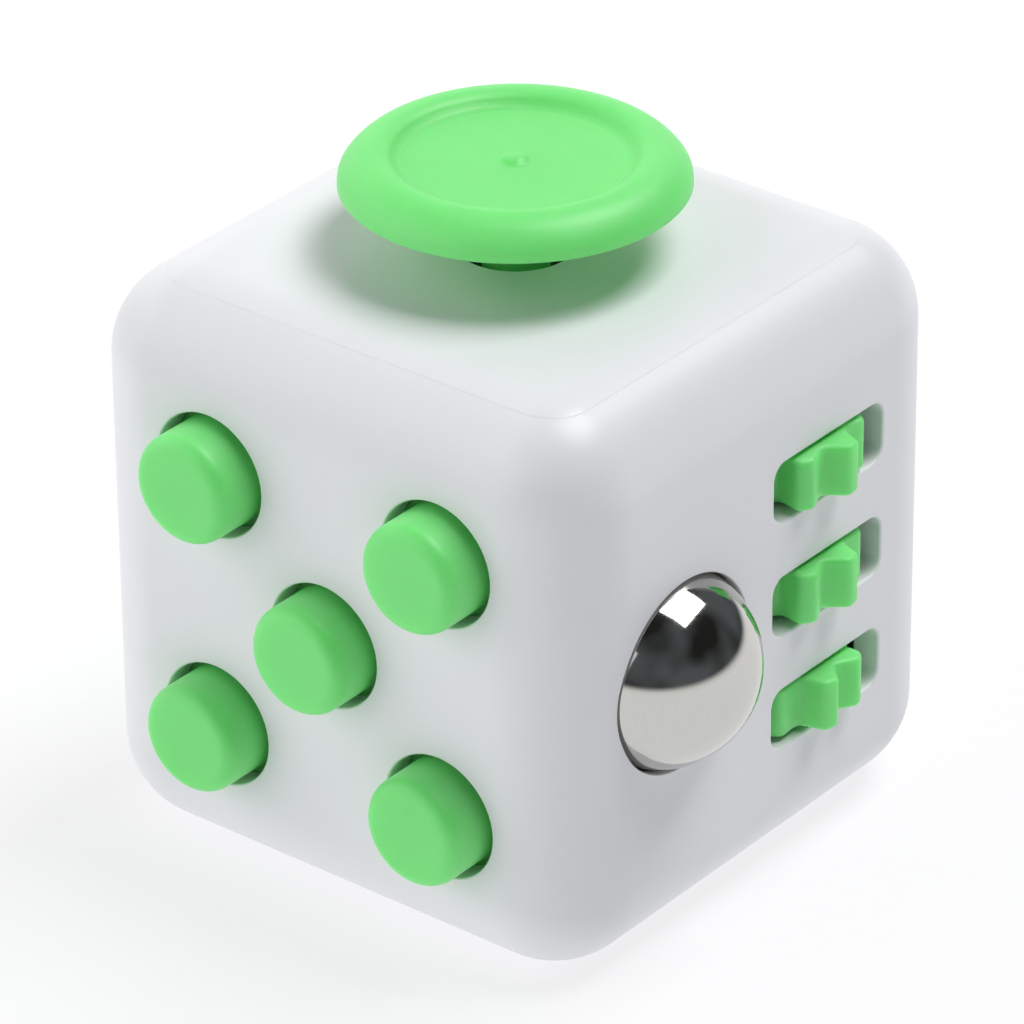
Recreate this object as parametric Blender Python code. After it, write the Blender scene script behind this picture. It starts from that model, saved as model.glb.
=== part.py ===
"""Fidget cube: white moulded body, glide pad, five click buttons, ball, cog wheels, rocker and dial.

Sizes are in millimetres from the middle of the cube: -Y is the button face, +X the ball and cog
face, +Z the pad face, +Y the rocker face, -X the dial face and -Z the thumb rest that it stands
on. place() turns them into metres, with the origin under the middle of the whole toy.
"""
import bpy
import bmesh
from math import acos, asin, atan2, cos, degrees, pi, radians, sin, sqrt, tan

# ---------------------------------------------------------------- driving dimensions (mm)
CUBE = 33.0                      # across the flats of the body
HALF = CUBE / 2
EDGE_R = 5.2                     # outside rounding of every edge
WALL = 1.6
INNER = HALF - WALL              # half width of the cavity
INNER_R = EDGE_R - WALL
SEAM_LOW = 15.97                 # top of the shell's rim
SEAM_HIGH = 16.05                # underside of the cover plate
MOUTH = 12.55                    # half width of the shell's open top
SPIGOT = 12.40                   # half width of the cover's spigot

BUTTON_R = 3.06
BUTTON_OUT = 2.5                 # how far a button stands out
BUTTON_ROUND = 0.83
BUTTON_HOLE_R = 3.5
BUTTON_PITCH_X = 7.5
BUTTON_PITCH_Z = 7.47
BUTTON_MID = (0.33, 0.05)        # x and z of the middle button

BALL_R = 5.5
BALL_OUT = 3.7
BALL_X = HALF + BALL_OUT - BALL_R
BALL_Y = -7.08
BALL_Z = -0.15
BALL_HOLE_R = 5.45

GEAR_TEETH = 8
GEAR_R = 4.2
GEAR_ROOT_R = 3.2
GEAR_THICK = 3.0
GEAR_X = HALF - 2.75
GEAR_Y = 5.05
GEAR_PITCH = 6.8
GEAR_MID_Z = -0.05
GEAR_NAMES = ("upper", "middle", "lower")
GEAR_PHASE = (7.0, 10.5, 31.0)   # how each wheel happens to be turned, in degrees
SHAFT_R = 0.7
WINDOW_Y = (0.5, 9.95)
WINDOW_HIGH = 3.5
WINDOW_R = 0.9

PAD_R = 9.23
PAD_RIM_Z = 20.14                # crisp lower edge of the pad's rim
PAD_TOP_Z = 22.0
STEM_R = 1.8
STEM_HOLE_R = 3.2

ROCKER_OUT = 2.5
ROCKER_TILT = 12.0               # each way from level, in degrees
ROCKER_PIVOT_Y = 13.8
DIAL_OUT = 1.7
DIAL_R = 7.0

DISH_R = 9.5
DISH_DEEP = 2.2
DISH_BALL = (DISH_R ** 2 + DISH_DEEP ** 2) / (2 * DISH_DEEP)
DISH_Z = -HALF + DISH_DEEP - DISH_BALL

SHIFT_X = -(BALL_OUT - DIAL_OUT) / 2
SHIFT_Y = -(ROCKER_OUT - BUTTON_OUT) / 2
MM = 0.001


# ---------------------------------------------------------------- shared helpers
def place(p):
    """Point in millimetres from the cube's middle, as metres in the scene."""
    return ((p[0] + SHIFT_X) * MM, (p[1] + SHIFT_Y) * MM, (p[2] + HALF) * MM)


def turn_to(axis, a, b, h):
    """Cross-section values a and b with height h along the axis, as x, y, z."""
    return {"X": (h, a, b), "Y": (a, h, b), "Z": (a, b, h)}[axis]


def revolve(profile, axis, at, count):
    """Solid of revolution of (radius, height) points, ring-shaped when no end is on the axis."""
    points = []
    faces = []
    rings = []
    for r, h in profile:
        if r < 1e-6:
            rings.append([len(points)] * count)
            points.append(turn_to(axis, at[0], at[1], h))
            continue
        rings.append([len(points) + k for k in range(count)])
        for k in range(count):
            w = 2 * pi * k / count
            points.append(turn_to(axis, at[0] + r * cos(w), at[1] + r * sin(w), h))
    closed = profile[0][0] > 1e-6
    pairs = list(zip(rings, rings[1:])) + ([(rings[-1], rings[0])] if closed else [])
    for low, high in pairs:
        for k in range(count):
            n = (k + 1) % count
            ring = [low[k], low[n], high[n], high[k]]
            face = [v for i, v in enumerate(ring) if v != ring[i - 1]]
            if len(face) > 2:
                faces.append(face)
    return points, faces


def cylinder(axis, at, r, low, high, count=24):
    return revolve([(0, low), (r, low), (r, high), (0, high)], axis, at, count)


def prism(outline, axis, low, high):
    """Outline of cross-section points pushed from low to high along the axis."""
    n = len(outline)
    points = [turn_to(axis, a, b, h) for h in (low, high) for a, b in outline]
    faces = [list(range(n)), list(range(2 * n - 1, n - 1, -1))]
    for k in range(n):
        m = (k + 1) % n
        faces.append([k, m, m + n, k + n])
    return points, faces


def box(low, high):
    (a, c, e), (b, d, f) = low, high
    return prism([(a, c), (b, c), (b, d), (a, d)], "Z", e, f)


def rounded_outline(low, high, r, steps=4):
    """Rectangle from its low corner to its high corner with rounded corners."""
    points = []
    for k, (u, v) in enumerate(((1, 1), (0, 1), (0, 0), (1, 0))):
        mid_a = high[0] - r if u else low[0] + r
        mid_b = high[1] - r if v else low[1] + r
        for s in range(steps + 1):
            w = pi / 2 * (k + s / steps)
            points.append((mid_a + r * cos(w), mid_b + r * sin(w)))
    return points


def rounded_cube(half, r, steps):
    """Cube with ball corners and cylindrical edges."""
    core = half - r
    grid = [core + r * tan(pi / 4 * k / steps) for k in range(steps + 1)]
    grid = [-g for g in reversed(grid)] + grid
    points = []
    faces = []
    index = {}

    def corner(p):
        mid = [max(-core, min(core, c)) for c in p]
        off = [c - m for c, m in zip(p, mid)]
        size = sqrt(sum(o * o for o in off))
        spot = tuple(round(m + r * o / size, 6) for m, o in zip(mid, off))
        if spot not in index:
            index[spot] = len(points)
            points.append(spot)
        return index[spot]

    for axis in "XYZ":
        for side in (-half, half):
            for i in range(len(grid) - 1):
                for j in range(len(grid) - 1):
                    ring = ((i, j), (i + 1, j), (i + 1, j + 1), (i, j + 1))
                    face = [corner(turn_to(axis, grid[a], grid[b], side)) for a, b in ring]
                    faces.append(face)
    return points, faces


def ribbon(line, thick):
    """Outline of a bent strip of even thickness along a line of points."""
    left = []
    right = []
    for k, (a, b) in enumerate(line):
        before = line[max(k - 1, 0)]
        after = line[min(k + 1, len(line) - 1)]
        w0 = atan2(b - before[1], a - before[0]) if k else None
        w1 = atan2(after[1] - b, after[0] - a) if k < len(line) - 1 else w0
        w0 = w1 if w0 is None else w0
        mid = atan2(sin(w0) + sin(w1), cos(w0) + cos(w1))
        reach = thick / 2 / max(cos((w1 - w0) / 2), 0.35)
        left.append((a - reach * sin(mid), b + reach * cos(mid)))
        right.append((a + reach * sin(mid), b - reach * cos(mid)))
    return left + right[::-1]


def coil(axis, at, r, wire, low, high, turns, per_turn=14, sides=6):
    """Round-wire compression spring."""
    steps = int(turns * per_turn)
    points = []
    faces = []
    for k in range(steps + 1):
        w = 2 * pi * k / per_turn
        h = low + (high - low) * k / steps
        for s in range(sides):
            u = 2 * pi * s / sides
            reach = r + wire * cos(u)
            spot = (at[0] + reach * cos(w), at[1] + reach * sin(w), h + wire * sin(u))
            points.append(turn_to(axis, *spot))
    for k in range(steps):
        for s in range(sides):
            n = (s + 1) % sides
            a, b = k * sides, (k + 1) * sides
            faces.append([a + s, a + n, b + n, b + s])
    faces.append(list(range(sides)))
    faces.append([steps * sides + s for s in reversed(range(sides))])
    return points, faces


def arc(r, start, end, steps, mid=(0.0, 0.0)):
    """Points on a circle in a profile, as (radius, height), angles from the height axis."""
    ways = [radians(start + (end - start) * k / steps) for k in range(steps + 1)]
    return [(mid[0] + r * sin(w), mid[1] + r * cos(w)) for w in ways]


MATERIALS = {}


def material(name, colour, rough, metal=0.0):
    mat = bpy.data.materials.new(name)
    mat.use_nodes = True
    shader = mat.node_tree.nodes["Principled BSDF"]
    shader.inputs["Base Color"].default_value = (*colour, 1)
    shader.inputs["Roughness"].default_value = rough
    shader.inputs["Metallic"].default_value = metal
    mat.diffuse_color = (*colour, 1)
    MATERIALS[name] = mat


def mesh_object(name, solids, pivot=(0, 0, 0)):
    """One mesh object from solids in millimetres, with its origin at the pivot."""
    mesh = bpy.data.meshes.new(name)
    bm = bmesh.new()
    spot = place(pivot)
    for points, faces in solids:
        verts = [bm.verts.new([c - o for c, o in zip(place(p), spot)]) for p in points]
        for face in faces:
            bm.faces.new([verts[v] for v in face])
    bmesh.ops.recalc_face_normals(bm, faces=bm.faces)
    bm.to_mesh(mesh)
    bm.free()
    obj = bpy.data.objects.new(name, mesh)
    obj.location = spot
    bpy.context.scene.collection.objects.link(obj)
    return obj


def piece(name, solid, look, pivot=(0, 0, 0)):
    obj = mesh_object(name, [solid], pivot)
    obj.data.shade_smooth()
    obj.data.set_sharp_from_angle(angle=radians(32))
    obj.data.materials.append(MATERIALS[look])
    return obj


def combine(obj, operation, solids, tag):
    """Exact Boolean of the object with one or more separate solids."""
    tool = mesh_object(obj.name + "_" + tag, solids)
    tool.hide_render = True
    tool.display_type = "WIRE"
    step = obj.modifiers.new(tag, "BOOLEAN")
    step.operation = operation
    step.solver = "EXACT"
    step.object = tool


def cut(obj, solids, tag="cutter"):
    combine(obj, "DIFFERENCE", solids, tag)


def join(obj, solids, tag="adder"):
    combine(obj, "UNION", solids, tag)


def screw(name, axis, at, head, tip, head_r=1.25, shank_r=0.55, high=0.8):
    """Cross-head screw from the outer face of its head to its tip."""
    way = 1 if tip > head else -1
    under = head + way * high
    profile = [(0, head), (head_r - 0.15, head), (head_r, head + way * 0.3), (head_r, under),
               (shank_r, under), (shank_r, tip - way * 0.4), (0, tip)]
    obj = piece(name, revolve(profile, axis, at, 8), "screw_steel")
    a, b = 0.62 * head_r, 0.12 * head_r
    cross = [(a, b), (b, b), (b, a), (-b, a), (-b, b), (-a, b),
             (-a, -b), (-b, -b), (-b, -a), (b, -a), (b, -b), (a, -b)]
    cross = [(at[0] + p, at[1] + q) for p, q in cross]
    ends = sorted((head - way * 0.5, head + way * 0.4))
    cut(obj, [prism(cross, axis, *ends)], "recess")


for old in list(bpy.data.objects):
    bpy.data.objects.remove(old, do_unlink=True)

material("white_abs", (0.80, 0.80, 0.82), 0.38)
material("green_abs", (0.20, 0.73, 0.24), 0.34)
material("polished_steel", (0.78, 0.77, 0.75), 0.06, 1.0)
material("inner_abs", (0.62, 0.63, 0.65), 0.5)
material("acetal", (0.86, 0.85, 0.80), 0.4)
material("black_nylon", (0.012, 0.012, 0.013), 0.5)
material("silicone_rubber", (0.16, 0.17, 0.18), 0.7)
material("spring_steel", (0.62, 0.62, 0.63), 0.28, 1.0)
material("screw_steel", (0.42, 0.42, 0.44), 0.35, 1.0)

# ---------------------------------------------------------------- where the repeated pieces sit
BUTTONS = [(BUTTON_MID[0] + BUTTON_PITCH_X * u, BUTTON_MID[1] + BUTTON_PITCH_Z * v)
           for u, v in ((-1, 1), (1, 1), (0, 0), (-1, -1), (1, -1))]
GEARS_Z = [GEAR_MID_Z + GEAR_PITCH * k for k in (1, 0, -1)]
BALL_AT = (BALL_Y, BALL_Z)
PLATE_SCREWS = [(u * 11.8, v * 11.8) for u in (-1, 1) for v in (-1, 1)]
FRAME_SCREWS = [(u * 9.1, v * 9.1) for u in (-1, 1) for v in (-1, 1)]
BALL_SCREWS = [(BALL_Y, BALL_Z + 9.2), (BALL_Y, BALL_Z - 9.2)]
GEAR_SCREWS = [(11.8, 3.35), (-0.8, -9.05)]
FLIP_SCREWS = [(0.0, 8.7), (0.0, -8.7)]

# ---------------------------------------------------------------- body shell
# Hollow rounded cube, open at the top, with every boss standing on the inside of its wall.
shell = piece("body_shell", rounded_cube(HALF, EDGE_R, 3), "white_abs")
cut(shell, [rounded_cube(INNER, INNER_R, 2)], "cavity")
cap_half = asin((DISH_R + 0.12) / (DISH_BALL + 1.5))
dish_back = [(0, DISH_Z + DISH_BALL + 1.5)]
dish_back += arc(DISH_BALL + 1.5, degrees(cap_half) / 3, degrees(cap_half), 2, (0, DISH_Z))
dish_back += [(DISH_R + 0.12, -HALF + 0.8), (0, -HALF + 0.8)]
bosses = [revolve(dish_back, "Z", (0, 0), 28)]
bosses += [cylinder("Y", at, 1.5, -15.2, -12.3, 12) for at in PLATE_SCREWS]
bosses += [cylinder("X", at, 1.5, 9.5, 15.4, 12) for at in BALL_SCREWS]
bosses += [cylinder("X", at, 1.4, 9.05, 15.4, 12) for at in GEAR_SCREWS]
bosses += [cylinder("Y", at, 1.4, 12.5, 15.4, 12) for at in FLIP_SCREWS]
join(shell, bosses, "bosses")

top_slab = box((-20, -20, SEAM_LOW), (20, 20, 20))
mouth = prism(rounded_outline((-MOUTH, -MOUTH), (MOUTH, MOUTH), 1.25), "Z", 12.0, 17.0)
cut(shell, [top_slab], "seam")
cut(shell, [mouth], "mouth")
holes = [cylinder("Y", at, BUTTON_HOLE_R, -17.5, -14.0, 24) for at in BUTTONS]
cut(shell, holes, "button_holes")
windows = []
for z in GEARS_Z:
    low, high = (WINDOW_Y[0], z - WINDOW_HIGH / 2), (WINDOW_Y[1], z + WINDOW_HIGH / 2)
    windows.append(prism(rounded_outline(low, high, WINDOW_R, 3), "X", 14.0, 17.5))
cut(shell, windows, "gear_windows")
socket = [(0, 13.2), (5.75, 13.2), (5.75, 15.75), (BALL_HOLE_R, 15.75), (BALL_HOLE_R, 17.5), (0, 17.5)]
cut(shell, [revolve(socket, "X", BALL_AT, 40)], "ball_hole")
slot = prism(rounded_outline((-2.9, -6.3), (2.9, 6.3), 0.6, 3), "Y", 14.0, 17.5)
cut(shell, [slot], "rocker_opening")
seat = [(0, -17.5), (7.4, -17.5), (7.4, -HALF + 0.5), (1.75, -HALF + 0.5), (1.75, -14.0), (0, -14.0)]
cut(shell, [revolve(seat, "X", (0, 0), 36)], "dial_seat")
dish_edge = degrees(asin((DISH_R + 0.8) / DISH_BALL))
dish = [(0, DISH_Z + DISH_BALL)] + arc(DISH_BALL, dish_edge / 5, dish_edge, 4, (0, DISH_Z))
dish += [(DISH_R + 0.8, -HALF - 2.0), (0, -HALF - 2.0)]
cut(shell, [revolve(dish, "Z", (0, 0), 40)], "thumb_rest")
pilots = [cylinder("Y", at, 0.65, -14.9, -12.0, 8) for at in PLATE_SCREWS]
pilots += [cylinder("X", at, 0.65, 8.5, 14.6, 8) for at in BALL_SCREWS + GEAR_SCREWS]
pilots += [cylinder("Y", at, 0.65, 12.0, 15.3, 8) for at in FLIP_SCREWS]
cut(shell, pilots, "pilots")

# ---------------------------------------------------------------- top cover
# Flat plate flush with the rounding, a spigot ring inside the mouth and a snap lip on each side.
cover = piece("top_cover", rounded_cube(HALF, EDGE_R, 3), "white_abs")
cut(cover, [box((-20, -20, -20), (20, 20, SEAM_HIGH))], "below")
spigot = prism(rounded_outline((-SPIGOT, -SPIGOT), (SPIGOT, SPIGOT), 1.1), "Z", 13.6, 16.2)
join(cover, [spigot], "spigot")
lips = [box((-12.95, -3, 13.6), (-12.0, 3, 14.2)), box((12.0, -3, 13.6), (12.95, 3, 14.2)),
        box((-3, -12.95, 13.6), (3, -12.0, 14.2)), box((-3, 12.0, 13.6), (3, 12.95, 14.2))]
join(cover, lips, "snap_lips")
well = prism(rounded_outline((-11.4, -11.4), (11.4, 11.4), 0.8), "Z", 13.0, 14.9)
cut(cover, [well], "well")
stem_hole = cylinder("Z", (0, 0), STEM_HOLE_R, 14.0, 17.5, 32)
frame_pilots = [cylinder("Z", at, 0.65, 14.5, 15.9, 8) for at in FRAME_SCREWS]
cut(cover, [stem_hole] + frame_pilots, "holes")

# ---------------------------------------------------------------- click buttons
# Turned-looking moulded caps: rounded rim, a flange behind the wall and a small push nub.
for k, at in enumerate(BUTTONS):
    front = -HALF - BUTTON_OUT
    rim = arc(BUTTON_ROUND, 0, 90, 3, (BUTTON_R - BUTTON_ROUND, -(front + BUTTON_ROUND)))
    profile = [(0, front)] + [(r, -h) for r, h in rim]
    profile += [(BUTTON_R, -14.6), (3.9, -14.6), (3.9, -13.9), (0.9, -13.9), (0.9, -13.6), (0, -13.6)]
    piece("click_button_%d" % (k + 1), revolve(profile, "Y", at, 24), "green_abs",
          (at[0], front, at[1]))

# Three metal domes click and two rubber domes are silent.
for k, at in enumerate(BUTTONS):
    if k in (0, 2, 4):
        outer = arc(3.55, 0, 46.5, 3, (0, 9.9))
        inner = arc(3.35, 43.5, 0, 3, (0, 9.9))
        profile = [(r, -h - 0.02) for r, h in outer + inner]
        name = "snap_dome_%d" % (1 + k // 2)
        piece(name, revolve(profile, "Y", at, 16), "spring_steel")
    else:
        profile = [(0, -13.5), (1.3, -13.5), (2.0, -12.95), (2.9, -12.8), (2.9, -12.3),
                   (2.2, -12.3), (1.5, -12.55), (1.0, -13.0), (0, -13.0)]
        name = "rubber_dome_%d" % (1 + k // 3)
        piece(name, revolve(profile, "Y", at, 16), "silicone_rubber")

plate = piece("click_plate", prism(rounded_outline((-13, -13), (13, 13), 2.0), "Y", -12.2, -11.2),
              "inner_abs")
cut(plate, [cylinder("Y", (14.3, BALL_Z), 6.15, -13, -10, 28)], "ball_notch")
cut(plate, [cylinder("Y", at, 0.75, -13, -10, 10) for at in PLATE_SCREWS], "screw_holes")
for k, at in enumerate(PLATE_SCREWS):
    screw("click_screw_%d" % (k + 1), "Y", at, -10.3, -14.5)

# ---------------------------------------------------------------- cog wheels
# Eight broad teeth, free on one steel shaft that snaps into a bracket behind the wall.
for name, z, phase in zip(GEAR_NAMES, GEARS_Z, GEAR_PHASE):
    outline = []
    for tooth in range(GEAR_TEETH):
        mid = phase + 360 / GEAR_TEETH * tooth
        for off, r in ((-18, GEAR_ROOT_R), (-8.7, GEAR_R - 0.3), (-5.8, GEAR_R - 0.03), (0, GEAR_R),
                       (5.8, GEAR_R - 0.03), (8.7, GEAR_R - 0.3), (18, GEAR_ROOT_R)):
            w = radians(mid + off)
            outline.append((GEAR_X + r * cos(w), GEAR_Y + r * sin(w)))
    low, high = z - GEAR_THICK / 2, z + GEAR_THICK / 2
    wheel = piece("gear_" + name, prism(outline, "Z", low, high), "green_abs", (GEAR_X, GEAR_Y, z))
    cut(wheel, [cylinder("Z", (GEAR_X, GEAR_Y), SHAFT_R + 0.08, low - 1, high + 1, 16)], "bore")

piece("gear_shaft", cylinder("Z", (GEAR_X, GEAR_Y), SHAFT_R, GEAR_MID_Z - 10.2, GEAR_MID_Z + 10.2, 16),
      "spring_steel")
bracket = piece("gear_bracket", box((7.75, 1.6, -10.4), (8.95, 13.2, 10.4)), "inner_abs")
join(bracket, [box((7.75, -2.3, -10.4), (8.95, 1.7, -7.7))], "foot")
ears = []
for low, high in ((8.65, 9.85), (2.15, 4.55), (-4.65, -2.25), (-9.95, -8.75)):
    ears.append(box((8.65, GEAR_Y - 1.3, low), (14.75, GEAR_Y + 1.3, high)))
join(bracket, ears, "ears")
cut(bracket, [cylinder("Z", (GEAR_X, GEAR_Y), SHAFT_R + 0.06, -12, 12, 16)], "shaft_hole")
slots = [box((7, 11.05, z - 1.1), (10, 11.55, z + 1.1)) for z in GEARS_Z]
cut(bracket, slots, "leaf_slots")
cut(bracket, [cylinder("X", at, 0.75, 7, 10, 10) for at in GEAR_SCREWS], "screw_holes")
for k, at in enumerate(GEAR_SCREWS):
    screw("gear_screw_%d" % (k + 1), "X", at, 6.85, 12.95)

# Each leaf hooks into a slot of the bracket and its nose rests between two teeth.
for name, z, phase in zip(GEAR_NAMES, GEARS_Z, GEAR_PHASE):
    valleys = [180 - phase - 360 / GEAR_TEETH * (k + 0.5) for k in range(GEAR_TEETH)]
    nose = min(valleys, key=lambda w: abs(w - 12))
    line = [(8.05, 11.3), (9.2, 11.3), (9.3, 10.0), (9.5, 8.6)]
    for off, r in ((11, 4.55), (7, 4.35), (0, 3.56), (-7, 4.35), (-12, 4.6)):
        w = radians(nose + off)
        line.append((GEAR_X - r * cos(w), GEAR_Y + r * sin(w)))
    piece("gear_detent_" + name, prism(ribbon(line, 0.22), "Z", z - 0.9, z + 0.9), "spring_steel")

# ---------------------------------------------------------------- ball and its sprung socket
# The ball is held in by the lip of the hole and pushed out by a spring behind its seat.
ball = [(0, BALL_X - BALL_R)] + arc(BALL_R, 180 - 15, 15, 10, (0, BALL_X)) + [(0, BALL_X + BALL_R)]
piece("roll_ball", revolve(ball, "X", BALL_AT, 28), "polished_steel", (BALL_X, BALL_Y, BALL_Z))


def cup(outer_r, inner_r, front, steps):
    """Ball-shaped cup profile that opens forward at a plane ahead of or behind the ball's middle."""
    a, b = degrees(acos(front / outer_r)), degrees(acos(front / inner_r))
    outside = arc(outer_r, 180 - (180 - a) / steps, a, steps - 1, (0, BALL_X))
    inside = arc(inner_r, b, 180 - (180 - b) / steps, steps - 1, (0, BALL_X))
    return outside, inside + [(0, BALL_X - inner_r)]


outside, inside = cup(6.02, 5.68, -0.6, 7)
liner = [(0, BALL_X - 6.02)] + outside + inside
piece("ball_liner", revolve(liner, "X", BALL_AT, 24), "acetal", (BALL_X, BALL_Y, BALL_Z))

outside, inside = cup(6.9, 6.2, -2.1, 7)
outside = [p for p in outside if p[0] > 3.1]
back = BALL_X - 7.0
seat = [(0, back - 4.4), (1.6, back - 4.4), (1.6, back), (2.9, back)]
seat += [(2.9, BALL_X - sqrt(6.9 ** 2 - 2.9 ** 2))] + outside + inside
piece("ball_seat", revolve(seat, "X", BALL_AT, 24), "acetal", (BALL_X, BALL_Y, BALL_Z))
piece("ball_spring", coil("X", BALL_AT, 2.15, 0.2, 5.68, back - 0.28, 2.5, 12, 5), "spring_steel")

hat = [(4.4, -7.8), (8.4, -7.8), (8.4, -10.6), (9.4, -10.6), (9.4, -6.8), (5.4, -6.8),
       (5.4, 6.8), (9.4, 6.8), (9.4, 10.6), (8.4, 10.6), (8.4, 7.8), (4.4, 7.8)]
hat = [(x, z + BALL_Z) for x, z in hat]
carrier = piece("ball_bracket", prism(hat, "Y", BALL_Y - 2.5, BALL_Y + 2.5), "inner_abs")
cut(carrier, [cylinder("X", BALL_AT, 1.78, 4, 6, 16)], "stem_hole")
cut(carrier, [cylinder("X", at, 0.75, 8, 10, 10) for at in BALL_SCREWS], "screw_holes")
for k, at in enumerate(BALL_SCREWS):
    screw("ball_screw_%d" % (k + 1), "X", at, 7.5, 13.6)

# ---------------------------------------------------------------- glide pad
# One moulding: a shallow-dished disc on a stem, with a sprue mark in the middle.
rim = [(9.0, 19.95), (PAD_R, PAD_RIM_Z), (9.17, 20.6), (8.85, 21.2), (8.3, 21.68), (7.6, 21.93),
       (7.2, PAD_TOP_Z), (6.75, 21.9), (6.3, 21.5), (5.9, 21.27), (0.6, 21.2), (0.3, 21.45),
       (0, 21.48)]
stem = [(0, 12.95), (1.2, 12.95), (1.2, 14.68), (STEM_R, 14.68), (STEM_R, 19.3),
        (2.6, 19.95)]
piece("glide_pad", revolve(stem + rim, "Z", (0, 0), 32), "green_abs", (0, 0, PAD_RIM_Z))
pad = bpy.data.objects["glide_pad"]
cut(pad, [cylinder("Z", (0, 0), 0.65, 12.0, 16.4, 8)], "pilot")

# The rider slides along Y in the carriage, and the carriage slides along X in the fixed frame.
rider = piece("glide_rider", box((-4.5, -4.7, 13.05), (4.5, 4.7, 14.55)), "black_nylon")
cut(rider, [cylinder("Z", (0, 0), 1.32, 12, 16, 16)], "hub_hole")
screw("glide_screw", "Z", (0, 0), 11.9, 16.0, 1.9, 0.55, 0.9)
carriage = piece("glide_carriage", box((-6.2, -7.4, 13.05), (6.2, 7.4, 14.6)), "black_nylon")
cut(carriage, [box((-4.6, -6.0, 12), (4.6, 6.0, 16))], "window")
frame = piece("glide_frame", prism(rounded_outline((-10.2, -10.2), (10.2, 10.2), 1.0), "Z", 11.6, 14.75),
              "black_nylon")
cut(frame, [box((-7.5, -7.5, 12.9), (7.5, 7.5, 16))], "pocket")
cut(frame, [cylinder("Z", (0, 0), 5.1, 10, 14, 28)], "spring_hole")
cut(frame, [cylinder("Z", at, 0.75, 10, 16, 10) for at in FRAME_SCREWS], "screw_holes")
for k, at in enumerate(FRAME_SCREWS):
    screw("glide_frame_screw_%d" % (k + 1), "Z", at, 10.7, 15.7, 1.05)
ring = [(2.05, 12.05), (2.5, 12.05), (3.2, 12.35), (3.9, 12.05), (4.95, 12.05),
        (4.95, 12.45), (3.9, 12.45), (3.2, 12.75), (2.5, 12.45), (2.05, 12.45)]
piece("glide_spring", revolve(ring, "Z", (0, 0), 20), "silicone_rubber")

# ---------------------------------------------------------------- flip rocker
# Two-position rocker on a steel pin, shown with its lower end down and its upper end out.
tilt = radians(ROCKER_TILT)
end_v = (HALF + ROCKER_OUT - ROCKER_PIVOT_Y - 4.8 * sin(tilt)) / cos(tilt)
half_top = [(5.5, end_v - 0.55), (5.3, end_v - 0.15), (4.8, end_v), (3.0, end_v - 0.52),
            (1.4, end_v - 0.86)]
top = half_top + [(0.0, end_v - 0.95)] + [(-u, v) for u, v in half_top[::-1]]
under = [(-5.5, 1.6), (-4.6, -0.6), (-2.2, -1.5), (-1.1, -1.9), (-0.25, -2.9),
         (0.25, -2.9), (1.1, -1.9), (2.2, -1.5), (4.6, -0.6), (5.5, 1.6)]
outline = []
for u, v in top + under:
    outline.append((ROCKER_PIVOT_Y + v * cos(tilt) + u * sin(tilt), u * cos(tilt) - v * sin(tilt)))
rocker = piece("flip_rocker", prism(outline, "X", -2.6, 2.6), "green_abs", (0, ROCKER_PIVOT_Y, 0))
cut(rocker, [cylinder("X", (ROCKER_PIVOT_Y, 0), 0.68, -4, 4, 16)], "pin_hole")
piece("flip_pin", cylinder("X", (ROCKER_PIVOT_Y, 0), 0.6, -4.3, 4.3, 16), "spring_steel")
housing = piece("flip_housing", box((-4.4, 9.3, -6.9), (4.4, 14.75, 6.9)), "inner_abs")
join(housing, [box((-1.8, 11.4, -10.3), (1.8, 12.4, -6.5)), box((-1.8, 11.4, 6.5), (1.8, 12.4, 10.3))],
     "feet")
cut(housing, [box((-3.0, 10.3, -6.1), (3.0, 16, 6.1))], "trough")
cut(housing, [cylinder("X", (ROCKER_PIVOT_Y, 0), 0.68, -6, 6, 16)], "pin_hole")
cut(housing, [cylinder("Y", at, 0.75, 10, 13, 10) for at in FLIP_SCREWS], "screw_holes")
leaf = [(10.42, -5.6), (10.42, -0.7), (10.97, 0.0), (10.42, 0.7), (10.42, 5.6)]
piece("flip_spring", prism(ribbon(leaf, 0.16), "X", -2.0, 2.0), "spring_steel")
for k, at in enumerate(FLIP_SCREWS):
    screw("flip_screw_%d" % (k + 1), "Y", at, 10.5, 15.1)

# ---------------------------------------------------------------- spin dial
# Disc in a shallow seat with a finger knob near its rim, held from inside by a screw and washers.
face = -HALF - 0.8
dial = [(0, face), (1.2, face), (5.6, face), (6.6, face), (6.9, face + 0.15), (DIAL_R, face + 0.45),
        (DIAL_R, -16.1), (1.6, -16.1), (1.6, -14.15), (0, -14.15)]
disc = piece("spin_dial", revolve(dial, "X", (0, 0), 30), "green_abs", (face, 0, 0))
knob_rim = [(0, -HALF - DIAL_OUT), (0.8, -HALF - DIAL_OUT), (1.15, -HALF - DIAL_OUT + 0.15),
            (1.3, -HALF - DIAL_OUT + 0.5), (1.3, face + 0.4), (0, face + 0.4)]
join(disc, [revolve(knob_rim, "X", (0, 4.8), 16)], "knob")
cut(disc, [cylinder("X", (0, 0), 0.65, -16.2, -13, 8)], "pilot")
cone = [(1.78, -14.45), (3.0, -14.8), (3.0, -14.6), (1.78, -14.22)]
piece("dial_spring_washer", revolve(cone, "X", (0, 0), 16), "spring_steel")
ring = [(0.75, -14.05), (3.2, -14.05), (3.2, -13.45), (0.75, -13.45)]
piece("dial_washer", revolve(ring, "X", (0, 0), 16), "acetal")
screw("dial_screw", "X", (0, 0), -12.5, -16.0, 1.5)
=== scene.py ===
"""Fidget cube, 33 mm across: how its moulded, turned and sprung pieces look on a studio table."""

from math import asin, cos, hypot, pi, radians, sin, sqrt, tan

import bmesh
import bpy
from mathutils import Matrix, Vector


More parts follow.
